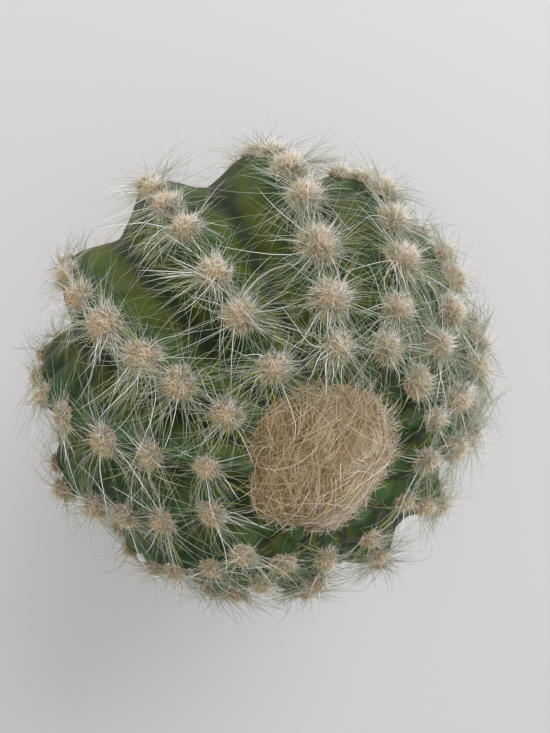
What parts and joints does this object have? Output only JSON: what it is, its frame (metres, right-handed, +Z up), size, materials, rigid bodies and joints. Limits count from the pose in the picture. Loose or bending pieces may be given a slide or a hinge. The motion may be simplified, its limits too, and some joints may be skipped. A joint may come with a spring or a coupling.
{
  "type": "potted round cactus",
  "caption": "Ball-shaped ribbed cactus with rows of woolly, spiny areoles and a pad of wool on its leaning crown, in a plain tapered plastic pot with a thick rim.",
  "frame": {"origin": "centre of the underside of the pot's flat base, on the surface it stands on", "axes": "+Z up, from the pot's base towards the plant; +Y the way the crown leans; the pot is turned about Z"},
  "size_m": [0.0907, 0.0902, 0.1242],
  "materials": {
    "pot_plastic": "satin moulded plastic, terracotta brown",
    "potting_soil": null,
    "cactus_skin": null,
    "crown_wool": null,
    "areole_wool": null
  },
  "bodies": {
    "root": {"pot": "pot_plastic", "soil": "potting_soil", "cactus_body": "cactus_skin", "crown_wool": "crown_wool", "areole_row_01": "areole_wool", "areole_row_02": "areole_wool", "areole_row_03": "areole_wool", "areole_row_04": "areole_wool", "areole_row_05": "areole_wool", "areole_row_06": "areole_wool", "areole_row_07": "areole_wool", "areole_row_08": "areole_wool", "areole_row_09": "areole_wool", "areole_row_10": "areole_wool", "areole_row_11": "areole_wool", "areole_row_12": "areole_wool", "areole_row_13": "areole_wool", "areole_row_14": "areole_wool"}
  },
  "joints": []
}
